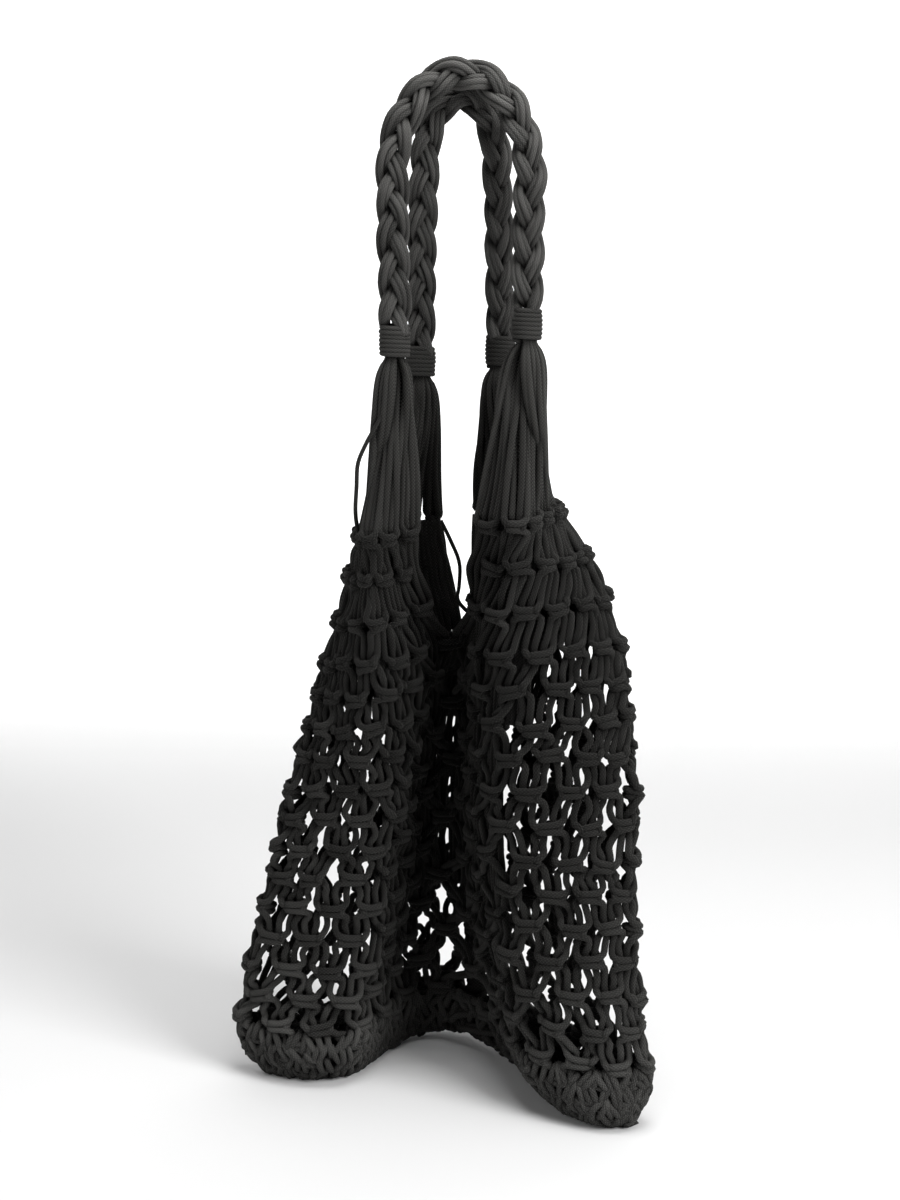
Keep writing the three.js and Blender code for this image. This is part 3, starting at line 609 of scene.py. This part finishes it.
# Painted light: the shoulders', wraps' and handles' copies of the same black cotton are lighter than the
# net's, the handles' most of all
net_cotton = cotton("net_cotton", (0.0196, 0.0194, 0.0185), NET_PAINTED_LIGHT, hollow_shade=0.6)
shoulder_cotton = cotton("shoulder_cotton", (0.0365, 0.0361, 0.0342), SHOULDER_PAINTED_LIGHT, hollow_shade=1.2)
wrap_cotton = cotton("wrap_cotton", (0.0390, 0.0384, 0.0366), HANDLE_PAINTED_LIGHT, hollow_shade=1.2)
handle_cotton = cotton("handle_cotton", (0.0605, 0.0595, 0.0570), HANDLE_PAINTED_LIGHT, hollow_shade=0.4)

# One corner of the bag for each handle end: its quarter of the net, and how the cords of its
# shoulder ease out of the wrap, those next to the neck and those at the tip
CORNERS = [
    dict(handle=FRONT_HANDLE, side=-1, quarter=0, place="front_left", eases=(0.9, 2.1)),
    dict(handle=BACK_HANDLE, side=-1, quarter=1, place="back_left", eases=(1.0, 2.4)),
    dict(handle=BACK_HANDLE, side=1, quarter=2, place="back_right", eases=(1.5, 1.6)),
    dict(handle=FRONT_HANDLE, side=1, quarter=3, place="front_right", eases=(1.0, 2.0)),
]


def wrap_place(handle, side):
    """The top of a wrap, on its axis."""
    x = HANDLE_CENTRE_X + side * handle["wrap_half_span"]
    return np.array([x, handle["wrap_y"], handle["wrap_top_z"] + SIDE_TILT * x])


# Painted shade in the deep front valley: how many knots wide each side is, how steeply the shade
# deepens, how dark it is, and what share of that it has at some rows
VALLEY_KNOTS, VALLEY_STEEPNESS, VALLEY_DARK = 3.8, 1.6, 4.5
VALLEY_ROWS, VALLEY_ROW_SHARES = [2, 6, 13, 17], [0.3, 1.0, 0.8, 0.2]


def valley_shade(quarter, turn, row):
    """How much painted shade darkens a cord at a row because it lies deep in the front valley."""
    if quarter in (1, 2):
        return np.zeros(np.shape(row))
    from_middle = min(turn, KNOTS_ROUND - turn)
    deep = min(1.0, max(0.0, 1 - from_middle / VALLEY_KNOTS) * VALLEY_STEEPNESS)
    return VALLEY_DARK * deep * np.interp(row, VALLEY_ROWS, VALLEY_ROW_SHARES)


def make_net(net_meshes, base_mesh):
    """The net and the base: 96 cords knotted four by four. Returns each cord's first two points."""
    knots = make_knots()
    tops = []
    for cord in range(CORDS):
        controls, rows = net_path(cord, knots)
        tops.append(controls[:2].copy())
        line, index = smooth_line(controls)
        row_at = np.interp(index, np.arange(len(rows)), rows)
        radius = CORD / 2 * (1 + CORD_UNEVEN * rng.normal())
        split = int(np.searchsorted(row_at, NET_ROWS + 0.5))
        quarter = cord // CORDS_PER_QUARTER
        # Painted shade where the cord lies deep in the front valley
        darker = valley_shade(quarter, (cord + 0.5) / CORDS_PER_KNOT, row_at)
        net_meshes[quarter].add(line[:split + 1], radius, darker[:split + 1])
        base_mesh.add(line[split:], radius, darker[split:])
    return tops


# Plain cords behind the knots on each side of a neck: how many, how many of those are long,
# how many knots apart, and the rows where the long and the short ones end
SPARE_FRONT = dict(count=20, long=16, step=0.14)
SPARE_BACK = dict(count=13, long=6, step=0.24)
SPARE_LAST_ROW, SPARE_SHORT_ROW = 12.5, 6
# Where the first is, in knots from the neck, how far behind the knots, and how much they sway
SPARE_START, SPARE_BEHIND, SPARE_SWAY = 0.1, 3.5, 0.7


def add_spare_cords(net_meshes):
    """Plain cords behind the knots, where the bag gathers at the neck and in its valley."""
    back_slit = 2 * KNOTS_PER_QUARTER
    for quarter, slit, side in ((0, 0, 1), (1, back_slit, -1), (2, back_slit, 1), (3, KNOTS_ROUND, -1)):
        spare = SPARE_FRONT if quarter in (0, 3) else SPARE_BACK
        for k in range(spare["count"]):
            turn = slit + side * (SPARE_START + spare["step"] * k)
            rows = np.arange(1, (SPARE_LAST_ROW if k < spare["long"] else SPARE_SHORT_ROW) + 0.1, 0.5)
            whole = np.floor(rows).astype(int)
            drops = np.array([0.5 * (row_drop(r) + row_drop(r + (1 if half else 0)))
                              for r, half in zip(whole, rows > whole)])
            place, along, _, out, _ = knot_frame(drops, np.full(len(drops), turn), quarter)
            sway = along * rng.normal(0, SPARE_SWAY, (len(drops), 1))
            line, index = smooth_line(place - out * (SPARE_BEHIND + NET_INSET) + sway, step=3.0)
            # With painted shade where it lies deep in the front valley
            net_meshes[quarter].add(line, CORD / 2, valley_shade(quarter, turn, 1 + index / 2))


# Ribs of the tight last rows: rows, ribs round the bag, half length, and how far out they are
RIB_ROWS, RIBS_ROUND, RIB_HALF, RIB_OUT = 5, 132, 7.0, 1.4
# The first row of ribs and the space between rows, in tight rows, and how much the ribs lean
RIB_FIRST, RIB_SPACE, RIB_LEAN = 0.75, 0.72, 0.45
# How uneven they are: space between ribs, millimetres down, radians of lean, millimetres out
RIB_UNEVEN_SPACE, RIB_UNEVEN_DOWN, RIB_UNEVEN_LEAN, RIB_UNEVEN_OUT = 0.16, 1.2, 0.18, 0.35
# A rib from end to end: share of its half length, and how deep it is there
RIB_SHAPE = [(-1.0, 3.6), (-0.72, 0.9), (0.0, 0.0), (0.72, 0.9), (1.0, 3.6)]


def add_base_ribs(base_mesh):
    """Short slanting cords over the base, as its tight knots show them."""
    # So far from the surface's last level that knot_frame can look a little past a rib
    last_drop = LEVELS[-1] - 0.025
    for row in range(RIB_ROWS):
        drop = RIM_DROP + (RIB_FIRST + RIB_SPACE * row) * DENSE_ROW / NET_DROP
        numbers = np.arange(RIBS_ROUND) + 0.5 * (row % 2) + rng.normal(0, RIB_UNEVEN_SPACE, RIBS_ROUND)
        turns = numbers * KNOTS_ROUND / RIBS_ROUND
        drops = np.minimum(drop + rng.normal(0, RIB_UNEVEN_DOWN, RIBS_ROUND) / NET_DROP, last_drop)
        place, along, up, out, _ = knot_frame(drops, turns % KNOTS_ROUND)
        for i in range(RIBS_ROUND):
            lean = RIB_LEAN * (1 if (i // 3 + row) % 2 else -1) + rng.normal(0, RIB_UNEVEN_LEAN)
            way = up[i] * math.cos(lean) + along[i] * math.sin(lean)
            height = RIB_OUT + rng.normal(0, RIB_UNEVEN_OUT)
            line = [place[i] + way * RIB_HALF * v + out[i] * (height - depth) for v, depth in RIB_SHAPE]
            base_mesh.add(smooth_line(np.array(line), step=2.6)[0], CORD / 2)


# The shoulders: cords that leave a wrap as a round bundle of thin cords and fan out to the
# first knots. They loosen right below the wrap: how much, and over which share of the way.
NECK_CORD = 2.9
LOOSEN, LOOSEN_REACH = 0.95, 0.12
HIDDEN_CORDS = 11
# Shares of the way down at which a shoulder's cord has its control points
FAN_PLACES = (0.04, 0.10, 0.18, 0.28, 0.42, 0.56, 0.70, 0.84, 0.94)
# How far in front of or behind the straight way the outer and the inner cords pass
OUTER_LIFT, INNER_LIFT = 2.0, -1.5


def make_shoulder(corner, net_tops):
    """The cords from one wrap. Those of the outer half lie in front and cross over the others,
    and a layer behind them shows through."""
    mesh = CordMesh()
    top = wrap_place(corner["handle"], corner["side"])
    quarter = corner["quarter"]
    count = CORDS_PER_QUARTER
    targets = net_tops[quarter * count:(quarter + 1) * count]
    if quarter in (1, 3):
        targets = targets[::-1]
    to_tip = targets[-1][0] - targets[0][0]
    to_tip = unit(np.array([to_tip[0], to_tip[1], 0.0]))
    outward = np.array([to_tip[1], -to_tip[0], 0.0])
    if outward[1] * corner["handle"]["wrap_y"] < 0:
        outward = -outward
    room = BUNDLE_RADIUS - NECK_CORD / 2
    neck_ease, tip_ease = corner["eases"]
    bottom_z = top[2] - WRAP_LENGTH

    def add_cord(from_neck, side, depth, target, below, lift):
        """A cord that leaves the bundle at a side and a depth and ends between two points."""
        ease = neck_ease + (tip_ease - neck_ease) * from_neck
        side = float(np.clip(side + rng.normal(0, 0.08), -0.98, 0.98))
        neck = top + room * (side * to_tip + depth * math.sqrt(1 - side * side) * outward)
        points = [neck - (0, 0, 3.0), neck - (0, 0, WRAP_LENGTH * 0.5), neck - (0, 0, WRAP_LENGTH)]
        sway = rng.normal(0, 1, 2)
        for t in FAN_PLACES:
            share = t ** ease
            loosened = 1 + LOOSEN * min(1.0, t / LOOSEN_REACH) ** 0.7
            place = (top + (neck - top) * loosened) * (1 - share) + target * share
            place[2] = bottom_z + (target[2] - bottom_z) * t
            arch = math.sin(math.pi * t)
            place = place + outward * (lift * arch * (1 - share) + sway[0] * arch)
            points.append(place + to_tip * sway[1] * math.sin(2 * math.pi * t))
        points += [target, 0.5 * (target + below)]
        line, index = smooth_line(np.array(points), step=2.6)
        # It thickens below the wrap, over three of its points
        grow = np.clip((index - 2) / 3, 0, 1)
        mesh.add(line, (NECK_CORD + (CORD - NECK_CORD) * grow) / 2)

    for k, (target, below) in enumerate(targets):
        from_neck = (k + 0.5) / count
        if from_neck > 0.5:
            # From the front of the bundle, those for the tip from its neck side
            add_cord(from_neck, 1 - 3.4 * (from_neck - 0.5), 1.0 if k % 2 else 0.5, target, below, OUTER_LIFT)
        else:
            # From the back of the bundle, those for the neck from its neck side
            add_cord(from_neck, -1 + 4 * from_neck, -1.0 if k % 2 else -0.25, target, below, INNER_LIFT)
    tops = np.array([target for target, below in targets])
    for k in range(HIDDEN_CORDS):
        from_neck = (k + 0.5) / HIDDEN_CORDS
        at = from_neck * (count - 1)
        target = np.array([np.interp(at, np.arange(count), tops[:, i]) for i in range(3)]) - outward * CORD
        add_cord(from_neck, 0.8 * (2 * from_neck - 1), -0.6, target, target - (0, 0, CORD), INNER_LIFT)
    node = corner["place"] + "_shoulder"
    mesh.build(node + "_cords", shoulder_cotton, [node], "net_cord")


# Points on each turn of a wrap's cord, how far its turns bulge in the middle of the wrap, and
# how uneven they are
WRAP_POINTS, WRAP_BULGE, WRAP_UNEVEN = 26, 0.5, 0.12
# How far outside the bundle the cord's middle is, and its radius, in heights of a turn
WRAP_OUT, WRAP_RADIUS = 0.42, 0.53


def make_wrap(corner):
    """One cord wound round a gathered bundle."""
    mesh = CordMesh(10)
    top = wrap_place(corner["handle"], corner["side"])
    cord = WRAP_LENGTH / WRAP_TURNS
    steps = WRAP_POINTS * WRAP_TURNS
    t = np.linspace(0, WRAP_TURNS, steps)
    angle = 2 * math.pi * t + rng.uniform(0, 6)
    uneven = rng.normal(0, WRAP_UNEVEN, WRAP_TURNS + 2)[np.floor(t).astype(int)]
    radius = BUNDLE_RADIUS + cord * WRAP_OUT + uneven
    bulge = WRAP_BULGE * np.sin(math.pi * t / WRAP_TURNS)
    line = top + np.stack([
        np.cos(angle) * (radius + bulge), np.sin(angle) * (radius + bulge),
        -t * (WRAP_LENGTH - cord) / WRAP_TURNS - cord / 2], axis=1)
    # Both ends tuck in under the turns
    first = line[0] * 0.6 + (top - (0, 0, 1.0)) * 0.4
    last = line[-1] * 0.6 + (top - (0, 0, WRAP_LENGTH - 1.0)) * 0.4
    mesh.add(np.vstack([first, line, last]), cord * WRAP_RADIUS)
    node = corner["place"] + "_wrap"
    mesh.build(node + "_cord", wrap_cotton, [node], "wrap_cord")


# How far the plait runs on inside a wrap, and the control points on each leg and on the arch
PLAIT_END = 7.0
LEG_POINTS, ARCH_STEPS = 6, 16
# Where the cords of a strand lie in it: across and through, in millimetres
STRAND_CORD = 3.7
STRAND_PLACES = [(-2.7, 0.9), (0.0, 1.9), (2.7, 0.9), (2.7, -0.9), (0.0, -1.9), (-2.7, -0.9)]
# A strand is narrower at the plait's edges by this share. At its ends it is this share of its
# width, and it widens over so many millimetres.
EDGE_GATHER, END_SHARE, END_LENGTH = 0.18, 0.62, 16
# How far a cord wanders in its strand, at each step and at most
WANDER, WANDER_MOST = 0.10, 0.7


def handle_route(handle):
    """The middle line of a handle, from wrap to wrap."""
    arch_z = handle["top_z"] - handle["arch_rise"]
    left, right = wrap_place(handle, -1), wrap_place(handle, 1)

    def route_point(x, z, foot):
        """The handles lean together towards their tops."""
        rise = (z - foot[2]) / (handle["top_z"] - foot[2])
        return x, handle["wrap_y"] + (handle["top_y"] - handle["wrap_y"]) * rise * rise, z

    def leg(foot, side):
        """Points up a leg, which bends out from its wrap to the arch."""
        end_x = HANDLE_CENTRE_X + side * handle["arch_half_width"]
        shares = [k / LEG_POINTS for k in range(LEG_POINTS)]
        return [route_point(foot[0] + (end_x - foot[0]) * share * share,
                            foot[2] + (arch_z - foot[2]) * share, foot) for share in shares]

    arch = []
    for k in range(ARCH_STEPS + 1):
        angle = math.pi * k / ARCH_STEPS
        x = HANDLE_CENTRE_X - handle["arch_half_width"] * math.cos(angle)
        z = arch_z + handle["arch_rise"] * math.sin(angle)
        arch.append(route_point(x, z, left if angle < math.pi / 2 else right))
    return np.array([left - (0, 0, PLAIT_END), *leg(left, -1), *arch, *leg(right, 1)[::-1],
                     right - (0, 0, PLAIT_END)])


def make_handle(handle):
    """A plait of three strands, each a flat bundle of cords."""
    route, _ = smooth_line(handle_route(handle), step=2.4)
    steps = np.concatenate([[0], np.cumsum(np.linalg.norm(np.diff(route, axis=0), axis=1))])
    length = steps[-1]
    from_end = np.minimum(steps, length - steps)
    # The plait's turning eases in at each end
    ease = PLAIT_PITCH / 4
    lag = np.where(from_end < ease, from_end ** 2 / (2 * ease), from_end - ease / 2)
    run = np.where(steps < length / 2, lag, length - ease - lag)
    tangents = unit(np.gradient(route, axis=0))
    across = unit(np.cross((0, 1, 0), tangents))
    lift = np.cross(tangents, across)
    gather = np.clip(from_end / END_LENGTH, 0, 1)[:, None]
    gather = gather * gather * (3 - 2 * gather)
    spread = END_SHARE + (1 - END_SHARE) * gather
    for k in range(PLAIT_STRANDS):
        turn = (2 * math.pi * run / (PLAIT_STRANDS * PLAIT_PITCH) + 2 * math.pi * k / PLAIT_STRANDS)[:, None]
        middle = route + handle["swing"] * across * np.sin(turn) + handle["lift"] * lift * np.sin(2 * turn)
        forward = unit(np.gradient(middle, axis=0))
        wide = unit(np.cross(lift, forward))
        through = np.cross(forward, wide)
        mesh = CordMesh()
        width = spread * (1 - EDGE_GATHER * np.sin(turn) ** 4)
        for u, v in STRAND_PLACES:
            wander = np.cumsum(rng.normal(0, WANDER, (len(route), 2)), axis=0)
            wander -= np.linspace(0, 1, len(route))[:, None] * wander[-1]
            wander = np.clip(wander, -WANDER_MOST, WANDER_MOST)
            line = middle + (u + wander[:, :1]) * width * wide + (v + wander[:, 1:]) * spread * through
            mesh.add(line, STRAND_CORD / 2)
        node = f"{handle['name']}_handle_strand_{k + 1}"
        mesh.build(node + "_cords", handle_cotton, [node], "handle_cord")


# Three thin cords that stand away from the net's edges: x, y, z at points along each
LOOSE_CORD = 2.6
LOOSE_LINES = [
    [(-48, -34, -172), (-53, -34, -181), (-58, -33, -190), (-63, -30, -202),
     (-64, -28, -216), (-65, -24, -232), (-64, -16, -246)],
    [(-13, 44, -246), (-7, 42, -258), (-1, 41, -273), (-1, 42, -288),
     (-2, 44, -298), (4, 47, -306), (9, 47, -309)],
    [(-10, 44, -268), (-7, 43, -280), (-6, 44, -292), (-8, 47, -304), (-13, 48, -310)],
]


def make_loose_cords():
    """The thin cords beside the net, in one piece."""
    mesh = CordMesh()
    for points in LOOSE_LINES:
        line, _ = smooth_line(np.array(points, float), step=2.2)
        mesh.add(line, LOOSE_CORD / 2)
    mesh.build("loose_edge_cords", net_cotton, [], "net_cord")


def make_bag():
    """The whole bag, piece by piece. The order matters, because every piece draws from rng."""
    net_meshes = [CordMesh() for _ in CORNERS]
    base_mesh = CordMesh()
    net_tops = make_net(net_meshes, base_mesh)
    add_spare_cords(net_meshes)
    add_base_ribs(base_mesh)
    for corner, mesh in zip(CORNERS, net_meshes):
        node = corner["place"] + "_net"
        mesh.build(node + "_cords", net_cotton, [node], "net_cord")
    base_mesh.build("base_cords", net_cotton, ["base"], "net_cord")
    for corner in CORNERS:
        make_shoulder(corner, net_tops)
    for corner in CORNERS:
        make_wrap(corner)
    for handle in (FRONT_HANDLE, BACK_HANDLE):
        make_handle(handle)
    make_loose_cords()


# The studio, in metres. The floor: half its width, how far it comes forward and goes back, how
# high it bends up behind, the bend's radius, and its shade.
FLOOR_HALF, FLOOR_FRONT, FLOOR_BACK, FLOOR_UP, FLOOR_BEND = 6.0, -4.0, 2.6, 4.0, 1.2
FLOOR_SHADE = 0.79
CAMERA_PLACE, CAMERA_TARGET, CAMERA_LENS = (-0.007, -1.233, -0.087), (-0.007, 0.0, -0.291), 59.5


def pale_paper():
    """A pale floor that glows more and more towards its far end, which is far behind."""
    material = bpy.data.materials.new("pale_paper")
    material.use_nodes = True
    tree = material.node_tree
    shader = tree.nodes["Principled BSDF"]
    shader.inputs["Base Color"].default_value = (FLOOR_SHADE, FLOOR_SHADE, FLOOR_SHADE, 1)
    shader.inputs["Roughness"].default_value = 0.9
    shader.inputs["Specular IOR Level"].default_value = 0.2
    shader.inputs["Emission Color"].default_value = (1, 1, 1, 1)
    place = tree.nodes.new("ShaderNodeTexCoord")
    split = tree.nodes.new("ShaderNodeSeparateXYZ")
    glow = tree.nodes.new("ShaderNodeMapRange")
    glow.interpolation_type = "SMOOTHSTEP"
    for socket, value in (("From Min", 0.5), ("From Max", 1.9), ("To Min", 0.0), ("To Max", 0.9)):
        glow.inputs[socket].default_value = value
    tree.links.new(place.outputs["Object"], split.inputs[0])
    tree.links.new(split.outputs["Y"], glow.inputs["Value"])
    tree.links.new(glow.outputs["Result"], shader.inputs["Emission Strength"])
    return material


def make_floor():
    """A floor that bends up behind the bag."""
    steps = 16
    bend_y = FLOOR_BACK - FLOOR_BEND
    profile = [(FLOOR_FRONT, 0.0), (bend_y, 0.0)]
    for k in range(1, steps + 1):
        angle = math.pi / 2 * k / steps
        profile.append((bend_y + FLOOR_BEND * math.sin(angle), FLOOR_BEND - FLOOR_BEND * math.cos(angle)))
    profile.append((FLOOR_BACK, FLOOR_UP))
    vertices = [(x, y, z + FLOOR_Z * METRE) for y, z in profile for x in (-FLOOR_HALF, FLOOR_HALF)]
    faces = [(2 * i, 2 * i + 1, 2 * i + 3, 2 * i + 2) for i in range(len(profile) - 1)]
    mesh = bpy.data.meshes.new("floor")
    mesh.from_pydata(vertices, [], faces)
    mesh.polygons.foreach_set("use_smooth", [True] * len(faces))
    mesh.materials.append(pale_paper())
    floor = bpy.data.objects.new("floor", mesh)
    bpy.context.collection.objects.link(floor)


def make_light(name, place, target, size, power):
    """A square lamp at a place, turned towards a target."""
    data = bpy.data.lights.new(name, "AREA")
    data.size = size
    data.energy = power
    lamp = bpy.data.objects.new(name, data)
    lamp.location = place
    lamp.rotation_euler = (Vector(target) - Vector(place)).to_track_quat("-Z", "Y").to_euler()
    bpy.context.collection.objects.link(lamp)


def make_camera():
    """A camera at the photo's angle."""
    data = bpy.data.cameras.new("camera")
    data.lens = CAMERA_LENS
    data.sensor_width = 36
    data.sensor_fit = "AUTO"
    data.clip_start, data.clip_end = 0.05, 30
    camera = bpy.data.objects.new("camera", data)
    camera.location = CAMERA_PLACE
    camera.rotation_euler = (Vector(CAMERA_TARGET) - camera.location).to_track_quat("-Z", "Y").to_euler()
    bpy.context.collection.objects.link(camera)
    bpy.context.scene.camera = camera


def make_studio():
    """Floor, camera, and soft light from above and the right."""
    make_floor()
    make_camera()
    make_light("key", (1.35, -1.35, 0.7), (0, 0, -0.3), 1.0, 43.5)
    make_light("fill", (-1.4, -1.3, 0.3), (0, 0, -0.3), 1.4, 8)
    make_light("top", (0.15, -0.25, 0.95), (0, 0, -0.1), 0.8, 15)
    world = bpy.data.worlds.new("studio")
    world.use_nodes = True
    background = world.node_tree.nodes["Background"]
    background.inputs["Color"].default_value = (1, 1, 1, 1)
    background.inputs["Strength"].default_value = 0.10
    bpy.context.scene.world = world
    bpy.context.scene.view_settings.view_transform = "Standard"


make_bag()
make_studio()
